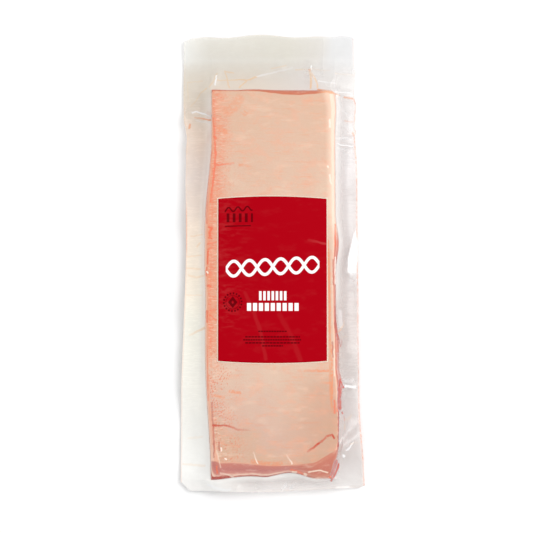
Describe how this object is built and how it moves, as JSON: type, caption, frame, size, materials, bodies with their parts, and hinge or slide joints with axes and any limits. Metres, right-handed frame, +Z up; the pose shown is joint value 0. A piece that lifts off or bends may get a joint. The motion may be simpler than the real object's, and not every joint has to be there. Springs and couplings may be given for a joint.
{
  "type": "vacuum-packed pork belly slab",
  "caption": "Long skin-on pork belly slab lying flat in a clear tight vacuum bag, with a wide flat header, side flaps and a rectangular label on top.",
  "frame": {"origin": "on the surface the pack rests on, under the middle of its bounding box", "axes": "+Y along the pack towards the open cut end of the bag, +Z up out of the skin side, +X to the right seen with the header away from the viewer"},
  "size_m": [0.219, 0.5495, 0.0385],
  "materials": {
    "bag_film": "clear glossy shrink film drawn tight over pale pork skin",
    "label_print": "satin printed label, deep red",
    "pork_belly": "moist pale peach skin over layers of cream fat and mauve red lean meat"
  },
  "bodies": {
    "root": {"pouch": "bag_film", "label": "label_print"}
  },
  "joints": []
}
